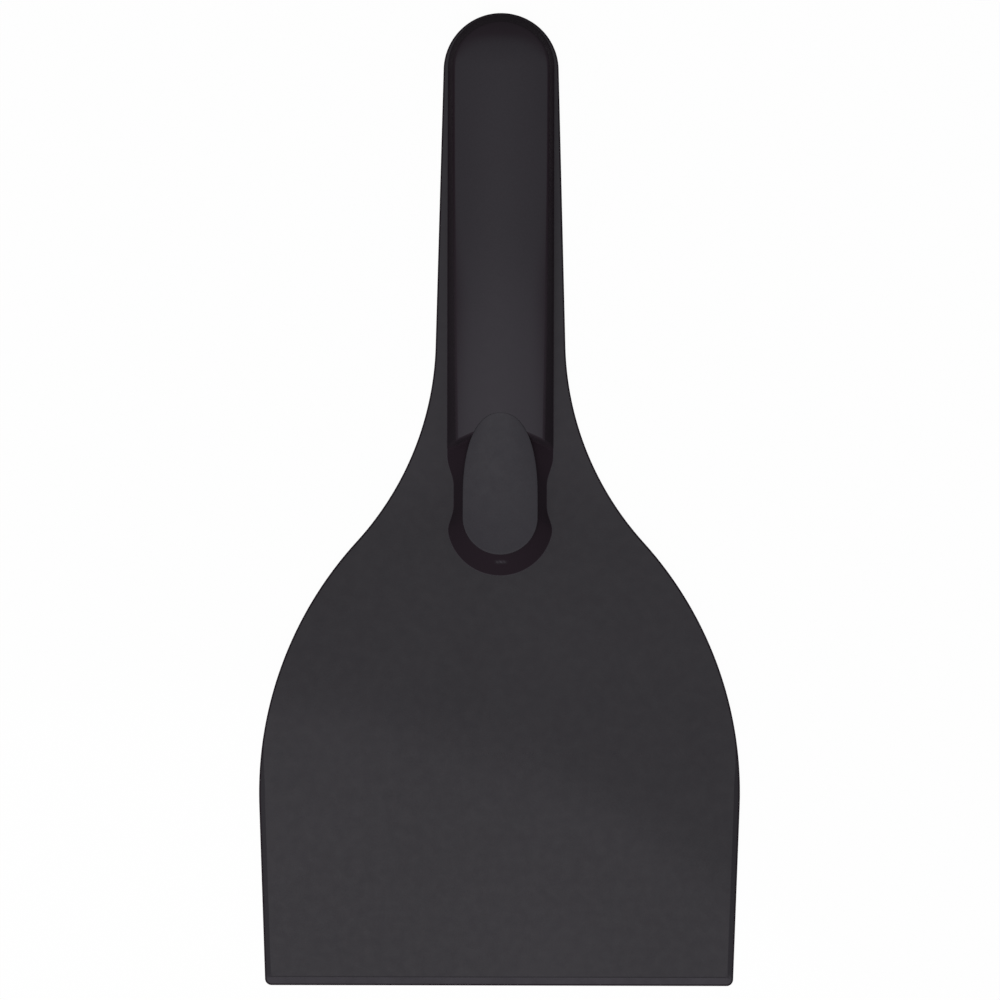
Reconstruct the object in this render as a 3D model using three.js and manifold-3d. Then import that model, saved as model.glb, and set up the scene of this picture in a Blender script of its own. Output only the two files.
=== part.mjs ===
// Hand ice scraper: a spade-shaped plate with a bevelled scraping edge, a hollow grip on its front and a
// dished thumb pad on the lower end of the grip.
// Millimetres. The plate lies on its flat back: +Z points out of its front, +Y from its edge to the handle.
import * as THREE from "three";
import { mergeVertices } from "three/addons/utils/BufferGeometryUtils.js";
import Module from "manifold-3d";

const wasm = await Module();
wasm.setup();

// Plate outline
const OVERALL_LENGTH = 222.5;
const BLADE_WIDTH = 110; // across the widest point
const WIDEST_HEIGHT = 44.2; // from the scraping edge up to the widest point
const SHOULDER_RADIUS = 85.2;
const NECK_RADIUS = 69.2;
const HANDLE_TAPER = 1.52; // degrees, each side of the handle spreading downwards
const BLADE_TAPER = 2; // degrees, each side of the blade closing in below the widest point
const CORNER_RADIUS = 1.5; // at both ends of the scraping edge
const RIM_WIDTH = 1.06; // plate that shows on both sides of the grip, where its round end starts
const END_RIM = 0.5; // the same at the end of the grip

// Plate section
const PLATE_THICKNESS = 3;
const THINNING = 1; // degrees that the front falls towards the scraping edge, below the widest point
const EDGE_LAND = 1; // thickness left at the scraping edge
const EDGE_BEVEL = 1.9; // width of the bevel along the scraping edge
const SIDE_BEVEL = 1.4; // width of the bevel along the sides of the blade
const SIDE_BEVEL_DROP = 0.8;
const BEVEL_FADE = 8; // degrees of the shoulder in which the bevel of the sides runs out
const HANDLE_CHAMFER = 0.4; // along the shoulders, the neck and the handle
const BACK_CHAMFER = 0.3;
const EJECTOR_RADIUS = 2.5; // round marks that the mould's pins leave on the back
const EJECTOR_DEPTH = 0.2;
const EJECTOR_OUT = 40; // from the middle of the blade out to the marks near its sides
const EJECTOR_UP = 15; // from the scraping edge up to the lowest marks

// Grip, measured from the front of the plate
const GRIP_WIDTH = 24.2;
const GRIP_LENGTH = 128.15;
const GRIP_HEIGHT = 11; // at its highest point
const GRIP_WALL = 2;
const SIDE_DRAFT = 8; // degrees that the sides lean inwards next to the handle's round end
const CHEEK_DRAFT = 13.5; // the same next to the cheeks
const END_DRAFT = 16; // the same at the end of the handle
const SIDE_ROUND = 1.4; // radius between the walls and the crown
const CROWN_RADIUS = 22;
const END_CROWN = 14; // of the crown lengthways, where it falls to the end of the handle
const ARCH_RADIUS = 600; // of the crest, lengthways
const ARCH_PEAK = 42.5; // from the end of the grip to its highest point
const WAIST_DEPTH = 1.5; // taken from each side for a finger and thumb
const WAIST_SPAN = 17.8;
const WAIST_EASE = 6.5; // length of the curves into and out of the waist
const WAIST_SETBACK = 18.2; // from the lower end of the grip up to the middle of the waist
const CHEEK_SETBACK = 7.9; // from the upper tip of the thumb pad down to the cheeks on both sides of it
const CHEEK_SLANT = 25; // degrees that the cheeks rise from the sides towards the pad
const RIB_COUNT = 4;
const RIB_THICKNESS = 1.6;
const RIB_CLEARANCE = 0.3; // between a rib and the plate

// Joint between grip and plate
const TONGUE_WIDTH = 1;
const TONGUE_DEPTH = 1;
const TONGUE_CLEARANCE = 0.15;

// Thumb pad
const PAD_WIDTH = 17.2;
const PAD_STRAIGHT = 4.3; // between its round lower end and its long upper end
const PAD_RISE = 19.4; // length of the upper end
const PAD_FULLNESS = 2.3; // exponent of the upper end: 2 is an ellipse, more is squarer
const PAD_SETBACK = 4.8; // from the lower end of the grip up to the pad
const PAD_LOW = 7; // height of the pad's lower tip over the plate
const PAD_SAG = 1.2; // depth of the hollow lengthways
const PAD_HOLLOW = 0.6; // depth of the hollow crossways, at the lower end
const PAD_THICKNESS = 1.5;
const SEAT_LIP = 0.2; // upright edge of the seat under the pad
const PAD_CLEARANCE = 0.2; // round the pad
const PAD_BED = 0.05; // under the pad
const PEG_RADIUS = 2;
const PEG_PITCH = 14;
const PEG_END = 0.6; // that shows inside the grip
const PEG_CLEARANCE = 0.15;

// Steps of the curves
const ARC_STEPS = 12; // in a quarter turn
const SIDE_STEPS = 16;
const PAD_STEPS = 4; // along the straight of the pad
const ROUND_STEPS = 6;
const CROWN_STEPS = 4;
const BLADE_STEPS = 14;
const CORNER_STEPS = 4;

const { degToRad, lerp } = THREE.MathUtils;
const vec2 = (x, y) => new THREE.Vector2(x, y);
const direction = (angle) => vec2(Math.cos(angle), Math.sin(angle));

// A closed three.js geometry as a solid that can be joined and cut
function solid(geometry) {
  const shape = geometry.clone();
  shape.deleteAttribute("normal");
  shape.deleteAttribute("uv");
  const merged = mergeVertices(shape, 1e-5);
  return new wasm.Manifold(
    new wasm.Mesh({
      numProp: 3,
      vertProperties: new Float32Array(merged.attributes.position.array),
      triVerts: new Uint32Array(merged.index.array),
    }),
  );
}

// A loft through rings of equally many points. Each ring runs up its right side and down its left side, point
// i mirroring point n-1-i, so both ends close with strips between the mirrored points.
function loft(rings) {
  const n = rings[0].length;
  const index = [];
  const quad = (a, b, c, d) => index.push(a, b, c, a, c, d);
  for (let k = 0; k + 1 < rings.length; k++) {
    for (let i = 0; i < n; i++) {
      const next = (i + 1) % n;
      quad(k * n + i, k * n + next, (k + 1) * n + next, (k + 1) * n + i);
    }
  }
  const last = (rings.length - 1) * n;
  for (let i = 0; 2 * i + 2 < n; i++) {
    const [right, left] = [i, n - 1 - i];
    const strip = [[right, right + 1, left]];
    if (right + 1 < left - 1) strip.push([right + 1, left - 1, left]);
    for (const [a, b, c] of strip) {
      index.push(last + a, last + b, last + c, c, b, a);
    }
  }
  const geometry = new THREE.BufferGeometry();
  geometry.setFromPoints(rings.flat());
  geometry.setIndex(index);
  return solid(geometry);
}

// A ring at the height that a number or a function of x and y gives
function ring(outline, height) {
  const z = typeof height === "function" ? height : () => height;
  return outline.map((p) => new THREE.Vector3(p.x, p.y, z(p.x, p.y)));
}

const prism = (outline, low, high) => loft([ring(outline, low), ring(outline, high)]);

// The space between two heights over an outline, following both across its whole area
function slab(outline, low, high, outer = outline) {
  const centre = vec2(0, (outline[0].y + outline[outline.length >> 1].y) / 2);
  const shrunk = (share) => outline.map((p) => p.clone().sub(centre).multiplyScalar(share).add(centre));
  const shares = [0.15, 0.4, 0.7, 1];
  const rings = shares.map((share) => ring(shrunk(share), low));
  rings.push(ring(outer, low), ring(outer, high));
  rings.push(...shares.slice(0, -1).reverse().map((share) => ring(shrunk(share), high)));
  return loft(outer === outline ? rings.toSpliced(shares.length, 1) : rings);
}

function cylinder(radius, low, high, at) {
  const geometry = new THREE.CylinderGeometry(radius, radius, high - low, 4 * ARC_STEPS);
  geometry.rotateX(Math.PI / 2).translate(at.x, at.y, (low + high) / 2);
  return solid(geometry);
}

// Centres of the plate's arcs
const edgeY = -OVERALL_LENGTH / 2;
const endRadius = GRIP_WIDTH / 2 + RIM_WIDTH;
const endCentre = vec2(0, OVERALL_LENGTH / 2 - endRadius);
const shoulderCentre = vec2(BLADE_WIDTH / 2 - SHOULDER_RADIUS, edgeY + WIDEST_HEIGHT);

// The neck's arc touches the side of the handle and the arc of the shoulder
const handleOut = direction(degToRad(HANDLE_TAPER));
const handleDown = vec2(handleOut.y, -handleOut.x);
const handleStart = endCentre.clone().addScaledVector(handleOut, endRadius);
const reach = handleStart.clone().addScaledVector(handleOut, NECK_RADIUS).sub(shoulderCentre);
const along = reach.dot(handleDown);
const handleRun = -along - Math.sqrt(along ** 2 - reach.lengthSq() + (NECK_RADIUS + SHOULDER_RADIUS) ** 2);
const neckCentre = reach.clone().addScaledVector(handleDown, handleRun).add(shoulderCentre);
const joinAngle = neckCentre.clone().sub(shoulderCentre).angle();

// Right half of the plate's outline from edge to handle end, then its mirror image: inset by its own amount
// along the scraping edge, the blade and the handle
function plateOutline(edgeInset, bladeInset, handleInset) {
  const half = [];
  const sideAngle = -degToRad(BLADE_TAPER);
  const sideOut = direction(sideAngle);
  const corner = Math.max(CORNER_RADIUS - Math.max(edgeInset, bladeInset), 0.1);
  const cornerY = edgeY + edgeInset + corner;
  const sideLine = SHOULDER_RADIUS - bladeInset - corner;
  const cornerX = shoulderCentre.x + (sideLine - sideOut.y * (cornerY - shoulderCentre.y)) / sideOut.x;
  for (let i = 0; i <= CORNER_STEPS; i++) {
    const out = direction(lerp(-Math.PI / 2, sideAngle, i / CORNER_STEPS));
    half.push(vec2(cornerX, cornerY).addScaledVector(out, corner));
  }
  half.push(shoulderCentre.clone().addScaledVector(sideOut, SHOULDER_RADIUS - bladeInset));
  for (let i = 0; i <= BLADE_STEPS; i++) {
    const out = direction((joinAngle * i) / BLADE_STEPS);
    const fade = THREE.MathUtils.smoothstep(out.angle(), 0, degToRad(BEVEL_FADE));
    const inset = lerp(bladeInset, handleInset, fade);
    half.push(shoulderCentre.clone().addScaledVector(out, SHOULDER_RADIUS - inset));
  }
  for (let i = 1; i <= BLADE_STEPS; i++) {
    const out = direction(lerp(joinAngle, handleOut.angle(), i / BLADE_STEPS));
    half.push(neckCentre.clone().addScaledVector(out, -NECK_RADIUS - handleInset));
  }
  for (let i = 0; i < ARC_STEPS; i++) {
    const out = direction(lerp(handleOut.angle(), Math.PI / 2, i / ARC_STEPS));
    half.push(endCentre.clone().addScaledVector(out, endRadius - handleInset));
  }
  const mirrored = half.map((p) => vec2(-p.x, p.y)).reverse();
  return [...half, vec2(0, endCentre.y + endRadius - handleInset), ...mirrored];
}

// The plate under a front face at the given height, with its bevels and the chamfer round its back
function plateBlank(front) {
  const outline = plateOutline(0, 0, 0);
  const face = plateOutline(EDGE_BEVEL, SIDE_BEVEL, HANDLE_CHAMFER);
  const back = plateOutline(0, BACK_CHAMFER, BACK_CHAMFER);
  const bevelFoot = outline.map((p, i) => {
    const width = p.distanceTo(face[i]);
    const share = (width - HANDLE_CHAMFER) / (SIDE_BEVEL - HANDLE_CHAMFER);
    const drop = lerp(HANDLE_CHAMFER, SIDE_BEVEL_DROP, share);
    const alongEdge = THREE.MathUtils.smoothstep(p.y, edgeY, edgeY + CORNER_RADIUS);
    return new THREE.Vector3(p.x, p.y, lerp(EDGE_LAND, front(p.x, p.y) - drop, alongEdge));
  });
  return loft([ring(back, 0), ring(outline, BACK_CHAMFER), bevelFoot, ring(face, front)]);
}

// The grip has its own frame: its origin is the centre of the handle's round end, on the front of the plate
const gripHalf = GRIP_WIDTH / 2;
const gripY = OVERALL_LENGTH / 2 - END_RIM - gripHalf;
const gripFoot = gripHalf - GRIP_LENGTH; // lower end
const peakY = gripHalf - ARCH_PEAK;
const waistY = gripFoot + WAIST_SETBACK;
const padHalf = PAD_WIDTH / 2;
const padFoot = gripFoot + PAD_SETBACK;
const padLow = padFoot + padHalf; // centre of the pad's lower end
const padHigh = padLow + PAD_STRAIGHT;
const padTip = padHigh + PAD_RISE;
const cheekY = padTip - CHEEK_SETBACK;
const above = 2 * GRIP_HEIGHT; // clear of everything on the grip

// A slot with a round lower end and an upper end of the given rise, up its right side and down its left side
function slot(half, lowY, highY, rise, steps = SIDE_STEPS, fullness = 2) {
  const right = [];
  const bend = (value) => Math.abs(value) ** (2 / fullness);
  for (let i = 0; i < ARC_STEPS; i++) {
    const out = direction((-Math.PI / 2) * (1 - (i + 0.5) / (ARC_STEPS + 0.5)));
    right.push(vec2(half * out.x, lowY + half * out.y));
  }
  for (let i = 0; i <= steps; i++) {
    right.push(vec2(half, lerp(lowY, highY, (i / steps) ** 2)));
  }
  for (let i = 1; i < ARC_STEPS; i++) {
    const out = direction(((Math.PI / 2) * i) / ARC_STEPS);
    right.push(vec2(half * bend(out.x), highY + rise * bend(out.y)));
  }
  return [...right, vec2(0, highY + rise), ...right.map((p) => vec2(-p.x, p.y)).reverse()];
}

// Takes the waist from both sides of an outline
function waisted(outline) {
  return outline.map((p) => {
    const away = Math.abs(p.y - waistY);
    const share = 1 - THREE.MathUtils.smoothstep(away, WAIST_SPAN / 2 - WAIST_EASE, WAIST_SPAN / 2);
    return vec2(p.x - Math.sign(p.x) * WAIST_DEPTH * share, p.y);
  });
}

const gripOutline = (inset) => waisted(slot(gripHalf - inset, gripFoot + gripHalf, 0, gripHalf - inset));

function padOutline(inset) {
  return slot(padHalf - inset, padLow, padHigh, PAD_RISE - inset, PAD_STEPS, PAD_FULLNESS);
}

const crest = (y) => GRIP_HEIGHT - (y - peakY) ** 2 / (2 * ARCH_RADIUS);

// Upper face of the thumb pad, hollow at its lower end and running into the crown at its upper tip, and the
// seat under the pad
function padFace(x, y) {
  const share = (y - padFoot) / (padTip - padFoot);
  const bend = lerp(PAD_HOLLOW / padHalf ** 2, -0.5 / CROWN_RADIUS, share);
  return lerp(PAD_LOW, crest(padTip), share) - 4 * PAD_SAG * share * (1 - share) + bend * x ** 2;
}
const seat = (x, y) => padFace(x, y) - PAD_THICKNESS - PAD_BED;

// Section of the handle from its foot to beside its middle: a leaning side, a round and a crown that touch
// each other. Each point is the distance in from the side and the height.
function handleSection(half, height, round, crown, draft) {
  const radius = Math.min(round, 0.85 * height);
  const up = direction(Math.PI / 2 - draft);
  const inward = vec2(up.y, -up.x);
  const crownCentre = vec2(half, height - crown);
  const offset = inward.clone().multiplyScalar(radius).sub(crownCentre);
  const lean = up.dot(offset);
  const run = -lean + Math.sqrt(lean ** 2 - offset.lengthSq() + (crown - radius) ** 2);
  const roundCentre = up.clone().multiplyScalar(run).addScaledVector(inward, radius);
  const touch = roundCentre.clone().sub(crownCentre).angle();
  const points = [vec2(0, 0)];
  for (let i = 0; i <= ROUND_STEPS; i++) {
    const out = direction(lerp(Math.PI - draft, touch, i / ROUND_STEPS));
    points.push(roundCentre.clone().addScaledVector(out, radius));
  }
  const last = Math.acos((-0.1 * half) / crown);
  for (let i = 1; i <= CROWN_STEPS; i++) {
    points.push(direction(lerp(touch, last, i / CROWN_STEPS)).multiplyScalar(crown).add(crownCentre));
  }
  return points;
}

// The handle from its round end down to the cheeks, made smaller by an inset for the hollow inside. Every
// point stands as high as the crest lets it at its own place along the handle.
function handleBody(inset) {
  const half = gripHalf - inset;
  const tall = GRIP_HEIGHT - inset;
  const slant = Math.tan(degToRad(CHEEK_SLANT));
  const foot = [];
  for (let i = 0; i < SIDE_STEPS; i++) {
    const at = vec2(half, lerp(cheekY + inset, 0, i / SIDE_STEPS));
    const down = 1 - i / SIDE_STEPS;
    foot.push({ at, out: vec2(1, 0), rise: slant * down, draft: lerp(SIDE_DRAFT, CHEEK_DRAFT, down ** 2) });
  }
  for (let i = 0; i <= ARC_STEPS; i++) {
    const out = direction(((Math.PI / 2) * i) / ARC_STEPS);
    const draft = lerp(SIDE_DRAFT, END_DRAFT, out.y ** 2);
    foot.push({ at: out.clone().multiplyScalar(half), out, rise: 0, draft });
  }
  const end = foot.pop();
  const flip = (p) => vec2(-p.x, p.y);
  const mirrored = foot.map((each) => ({ ...each, at: flip(each.at), out: flip(each.out) })).reverse();
  const all = [...foot, { ...end, at: vec2(0, half), out: vec2(0, 1) }, ...mirrored];
  const sections = all.map(({ out, draft }) => {
    const round = Math.max(SIDE_ROUND - inset, 0.5 * SIDE_ROUND);
    const crown = lerp(CROWN_RADIUS, END_CROWN, out.y ** 2) - inset;
    return handleSection(half, tall, round, crown, degToRad(draft));
  });
  const rings = sections[0].map((_, k) =>
    all.map(({ at, out, rise }, i) => {
      const { x: inward, y: height } = sections[i][k];
      const p = at.clone().addScaledVector(out, -inward);
      p.y += rise * inward;
      return new THREE.Vector3(p.x, p.y, (height * (crest(p.y) - inset)) / tall);
    }),
  );
  if (inset > 0) rings.unshift(ring(all.map(({ at }) => at), -inset));
  return loft(rings);
}

// The lower end of the grip: walls that lean from the waisted foot to the oval under the thumb pad
function thumbBody(inset) {
  const half = gripHalf - inset;
  const low = gripFoot + gripHalf;
  const oval = padOutline(inset);
  const level = (cheekY + GRIP_WALL - padHigh) / PAD_RISE;
  const full = (padHalf - inset) * (1 - level ** PAD_FULLNESS) ** (1 / PAD_FULLNESS);
  const foot = waisted(
    oval.map((p) => {
      const out = vec2(p.x, p.y - padLow);
      if (out.y < 0) return out.setLength(half).add(vec2(0, low));
      const y = THREE.MathUtils.mapLinear(p.y, padLow, padTip, low, padTip);
      return vec2(half * THREE.MathUtils.clamp(p.x / full, -1, 1), y);
    }),
  );
  const rings = [ring(foot, 0), ring(oval, (x, y) => seat(x, y) - inset - SEAT_LIP), ring(oval, above)];
  if (inset > 0) rings.unshift(ring(foot, -inset));
  return loft(rings);
}

// The whole grip, or the hollow inside it, with the place of the pad taken out
function gripBody(inset) {
  const low = (x, y) => seat(x, y) - inset;
  const place = slab(padOutline(0), low, above, padOutline(-PAD_CLEARANCE - inset));
  return handleBody(inset).add(thumbBody(inset)).subtract(place);
}

// A ring that follows the foot of the grip, between two insets
function footRing(outerInset, innerInset, low, high) {
  const inside = prism(gripOutline(innerInset), low - 1, high + 1);
  return prism(gripOutline(outerInset), low, high).subtract(inside);
}

const tongueInset = (GRIP_WALL - TONGUE_WIDTH) / 2;
const pegPlaces = [-PEG_PITCH / 2, PEG_PITCH / 2].map((y) => vec2(0, (padFoot + padTip) / 2 + y));

function gripShell() {
  let shell = gripBody(0).subtract(gripBody(GRIP_WALL));
  const ribs = gripBody(GRIP_WALL / 2);
  for (let i = 1; i <= RIB_COUNT; i++) {
    const rib = new THREE.BoxGeometry(GRIP_WIDTH, RIB_THICKNESS, above);
    rib.translate(0, lerp(gripHalf, cheekY, i / (RIB_COUNT + 1)), above / 2 + RIB_CLEARANCE);
    shell = shell.add(solid(rib).intersect(ribs));
  }
  shell = shell.add(footRing(tongueInset, tongueInset + TONGUE_WIDTH, -TONGUE_DEPTH, 0.3));
  for (const at of pegPlaces) {
    const low = seat(at.x, at.y) - 2 * GRIP_WALL;
    shell = shell.subtract(cylinder(PEG_RADIUS + PEG_CLEARANCE, low, above, at));
  }
  return shell;
}

function thumbPad() {
  let pad = slab(padOutline(0), (x, y) => padFace(x, y) - PAD_THICKNESS, padFace);
  for (const at of pegPlaces) {
    const top = padFace(at.x, at.y);
    const pegLow = top - PAD_THICKNESS - GRIP_WALL - PEG_END;
    pad = pad.add(cylinder(PEG_RADIUS, pegLow, top - PAD_THICKNESS / 2, at));
  }
  return pad;
}

function bladePlate() {
  const slope = Math.tan(degToRad(THINNING));
  const flat = plateBlank(() => PLATE_THICKNESS);
  const thinned = plateBlank((x, y) => PLATE_THICKNESS + (y - shoulderCentre.y) * slope);
  const grooveDepth = TONGUE_DEPTH + TONGUE_CLEARANCE;
  const innerInset = tongueInset + TONGUE_WIDTH + TONGUE_CLEARANCE;
  const groove = footRing(tongueInset - TONGUE_CLEARANCE, innerInset, -grooveDepth, 1);
  let plate = flat.intersect(thinned).subtract(groove.translate([0, gripY, PLATE_THICKNESS]));
  const marks = [vec2(0, gripY), vec2(0, gripY + cheekY), vec2(0, edgeY + WIDEST_HEIGHT)];
  for (const side of [-1, 1]) {
    marks.push(vec2(side * EJECTOR_OUT, shoulderCentre.y), vec2(side * EJECTOR_OUT, edgeY + EJECTOR_UP));
  }
  for (const at of marks) {
    plate = plate.subtract(cylinder(EJECTOR_RADIUS, -1, EJECTOR_DEPTH, at));
  }
  return plate;
}

// A named mesh of a solid in its own colour
function piece(name, made, colour, roughness) {
  const { vertProperties, triVerts } = made.getMesh();
  const geometry = new THREE.BufferGeometry();
  geometry.setAttribute("position", new THREE.BufferAttribute(vertProperties, 3));
  geometry.setIndex(new THREE.BufferAttribute(triVerts, 1));
  geometry.computeVertexNormals();
  const mesh = new THREE.Mesh(geometry, new THREE.MeshStandardMaterial({ color: colour, roughness }));
  mesh.name = name;
  return mesh;
}

const grip = new THREE.Group();
grip.name = "grip";
grip.position.set(0, gripY, PLATE_THICKNESS);
grip.add(piece("grip_shell", gripShell(), 0x39383a, 0.5));
grip.add(piece("thumb_pad", thumbPad(), 0x403f42, 0.6));

const scraper = new THREE.Group();
scraper.name = "ice_scraper";
scraper.add(piece("blade_plate", bladePlate(), 0x3c3b3e, 0.5), grip);

export default scraper;
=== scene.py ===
"""The hand ice scraper's looks: fine meshes of its three pieces, satin black plastics, light and floor"""

import math

import bmesh
import bpy
import numpy as np
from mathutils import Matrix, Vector
from mathutils.geometry import delaunay_2d_cdt


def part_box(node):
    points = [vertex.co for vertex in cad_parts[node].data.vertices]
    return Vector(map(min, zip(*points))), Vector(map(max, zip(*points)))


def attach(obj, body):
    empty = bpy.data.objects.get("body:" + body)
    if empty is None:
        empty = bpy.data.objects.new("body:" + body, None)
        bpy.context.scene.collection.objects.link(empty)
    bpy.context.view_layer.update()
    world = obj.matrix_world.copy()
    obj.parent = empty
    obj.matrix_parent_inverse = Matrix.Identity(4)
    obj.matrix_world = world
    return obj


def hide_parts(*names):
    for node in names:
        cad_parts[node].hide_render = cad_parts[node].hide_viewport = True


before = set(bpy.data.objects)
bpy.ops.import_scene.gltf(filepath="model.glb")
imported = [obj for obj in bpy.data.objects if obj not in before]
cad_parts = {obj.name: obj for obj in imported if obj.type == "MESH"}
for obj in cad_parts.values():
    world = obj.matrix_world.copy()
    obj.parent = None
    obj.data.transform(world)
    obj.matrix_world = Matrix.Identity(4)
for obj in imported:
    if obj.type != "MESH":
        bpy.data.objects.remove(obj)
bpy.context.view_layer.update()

# Sizes in millimetres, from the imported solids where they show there
MM = 0.001
plate_box = np.array(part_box("blade_plate")) / MM
grip_box = np.array(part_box("grip_shell")) / MM
pad_box = np.array(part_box("thumb_pad")) / MM
OVERALL_LENGTH = plate_box[1, 1] - plate_box[0, 1]
BLADE_WIDTH = plate_box[1, 0] - plate_box[0, 0]
PLATE_THICKNESS = plate_box[1, 2]
GRIP_WIDTH = grip_box[1, 0] - grip_box[0, 0]
GRIP_LENGTH = grip_box[1, 1] - grip_box[0, 1]
GRIP_HEIGHT = grip_box[1, 2] - PLATE_THICKNESS
END_RIM = plate_box[1, 1] - grip_box[1, 1]
PAD_WIDTH = pad_box[1, 0] - pad_box[0, 0]
PAD_SETBACK = pad_box[0, 1] - grip_box[0, 1]

# Outline of the plate
WIDEST_HEIGHT = 44.2  # from the scraping edge up to the widest point
SHOULDER_RADIUS = 85.2
NECK_RADIUS = 69.2
HANDLE_TAPER = math.radians(1.52)
BLADE_TAPER = math.radians(2)
CORNER_RADIUS = 1.5  # at both ends of the scraping edge
LEAST_CORNER = 0.1  # what an inset leaves of it at least
RIM_WIDTH = 1.06  # plate that shows beside the grip's round end

# Section of the plate
THINNING = math.tan(math.radians(1))  # fall of the front towards the scraping edge
THINNING_SOFT = 4.0  # size of the bend where the fall starts
EDGE_LAND = 1.0  # thickness at the scraping edge
EDGE_BEVEL = 1.9
SIDE_BEVEL = 1.4
SIDE_BEVEL_DROP = 0.8
BEVEL_FADE = math.radians(8)  # turn of the shoulder in which the side bevel runs out
HANDLE_CHAMFER = 0.4
BACK_CHAMFER = 0.3
GROOVE_WIDTH = 0.36  # fine groove above the bevel of the scraping edge
GROOVE_DEPTH = 0.09
GROOVE_END = 0.5  # length in which it runs out at the corners
EDGE_ROUNDS = (0.1, 0.1, 0.6, 0.08, 0.05, 0.08)  # of its corners, from the back round to the front
FACE_MARGIN = 1.0  # strip of the front beside the bevels
RIM_MARGIN = 0.7  # the same beside the handle's chamfer
BACK_MARGIN = 0.8  # strip of the back beside its chamfer
HOLD = 0.06  # share of a strip that rows of points set off at its ends, to keep its shading flat

# Round marks of the mould's pins on the back
EJECTOR_RADIUS = 2.5
EJECTOR_DEPTH = 0.2
EJECTOR_OUT = 40  # from the middle line out to the marks near the blade's sides
EJECTOR_UP = 15  # from the scraping edge up to the lowest marks
MARK_MARGIN = 0.05  # flat ring round a mark
MARK_CHAMFER = 0.06
MARK_FILLET = 0.02  # height of the slope at the rim of a mark's floor
MARK_FLOOR = 0.3  # from a mark's edge in to its flat floor

# Grip
GRIP_WALL = 2.0
SIDE_DRAFT = math.radians(8)  # lean of the sides next to the handle's round end
CHEEK_DRAFT = math.radians(13.5)  # lean of the sides at the cheeks
END_DRAFT = math.radians(16)  # lean of the wall at the handle's end
SIDE_ROUND = 1.4  # between the walls and the crown
LEAST_ROUND = 0.5  # share of it that an inset leaves at least
CROWN_RADIUS = 22.0
END_CROWN = 14.0  # the crown's radius at the handle's end
ARCH_RADIUS = 600.0  # of the crest, seen from the side
ARCH_PEAK = 42.5  # from the handle's end to the highest point
WAIST_DEPTH = 1.5
WAIST_SPAN = 17.8
WAIST_EASE = 6.5
WAIST_SETBACK = 18.2  # from the grip's lower end up to the waist
CHEEK_SETBACK = 7.9  # from the thumb pad's upper tip down to the cheeks
CHEEK_SLANT = math.tan(math.radians(25))
CHEEK_SOFT = 0.9  # half the length of the bend from the crown down to a cheek
CHEEK_LEAD = 0.6  # share of that bend above the line of the cheek
CHEEK_EASE = 1.3
CHEEK_REACH = 3.0  # length below the cheeks in which the walls take up their even rows
WALL_SPACING = 1.3  # rows of those walls, closer together at the foot
WALL_SHARE = 0.8  # of the way in to the pad, which a wall and its round take at most
LEAST_DEPTH = 0.01  # of that way
FOOT_FILLET = 0.12
GATE_OUT = 0.2  # rough mark of the mould's gate, below the thumb pad
GATE_UP = 3.1
GATE_WIDTH = 1.3
GATE_HEIGHT = 0.35
GATE_RISE = 0.22
GATE_LEAN = (0, -0.6, 0.8)  # the way in which it stands out
GATE_RIPPLE = 0.25
GATE_WAVES = (9, 2)

# Thumb pad
PAD_STRAIGHT = 4.3
PAD_RISE = 19.4  # from the straight sides up to the upper tip
PAD_FULLNESS = 2.3  # of the upper end, where 2 is an ellipse
PAD_LOW = 7.0  # height of the lower tip
PAD_SAG = 1.2  # dish lengthways
PAD_HOLLOW = 0.6  # dish across the lower end
PAD_THICKNESS = 1.5
PAD_BED = 0.05  # between the pad and its seat
PAD_GAP = 0.01  # left free inside the outline
PAD_MARGIN = 0.6  # strip of the pad's faces beside their edges
PAD_UNDER_ROUND = 0.12
PAD_ROUND = 0.18
TIP_ROUND = 0.04  # of the pad's upper tip
SEAT_LIP = 0.2  # from the top of the walls below the cheeks up to the seat
SEAM = 0.02  # between the outline and the grip's crown

# Steps of the meshes
CORNER_STEPS = 8
SIDE_STEPS = 40
SHOULDER_STEPS = 64
NECK_STEPS = 48
HANDLE_STEPS = 50
END_STEPS = 28
BOTTOM_STEPS = 44
TURN_STEPS = 4
MARK_STEPS = 48
GRIP_END_STEPS = 40
GRIP_SIDE_STEPS = 72
CROWN_ROWS = 20
ROUND_STEPS = 12
WALL_ROWS = np.array([0, 0.01, 0.025, 0.05, 0.1, 0.2, 0.35, 0.5, 0.65, 0.8, 0.9])  # shares of its height
PAD_STRAIGHT_STEPS = 8
PAD_STEPS = 18
TINY = 1e-9
WELD = 2e-7  # metres
LONGEST_ROUND = 0.45  # share of a row's length
INSIDE_LOOPS = 1  # the triangulation's choice of what it keeps
PLAN_CLOSE = 1e-6  # millimetres

# Wear and painted highlights of edges, and painted shade of steep sides. Each pair says where a change
# starts, and its
# run: in the bend of an edge, in the upward share of the normal, or along the grip and across it
# edges paler where they bend: wear and a painted highlight
EDGE_WEAR_AND_HIGHLIGHT = 0.12
WORN_AND_HIGHLIT_BENDS = (0.12, 0.2)
SHARP_BEND = 1.0  # radians
SMOOTH_ANGLE = math.radians(35)
# painted shade on faces of the plate and the pad that point little upwards
PLATE_SHADE_RAMP = (0.825, -0.06)
PAD_SHADE_RAMP = (0.8, -0.1)
SCUFF_AND_HIGHLIGHT_RAMP = (0.7, 0.1)
SCUFF_AND_HIGHLIGHT_OVER = 0.02  # past the bevel
SCUFF_AND_HIGHLIGHT_UNDER = 0.3  # below the rim of the scraping edge
UPPER_HANDLE = (-55, 35)
CROWN_SIDES = (3, 5)
ROUND_END = (-3, 7)
# painted shade on the walls round the thumb pad
PAD_WALL_SHADE = (0.93, -0.1)
STEEPEST_WALL_SHADE = (0.25, 0.4)
STEEPEST_SHADE_SHARE = 0.8
CHEEK_SHADE_RUN = 0.8
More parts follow.
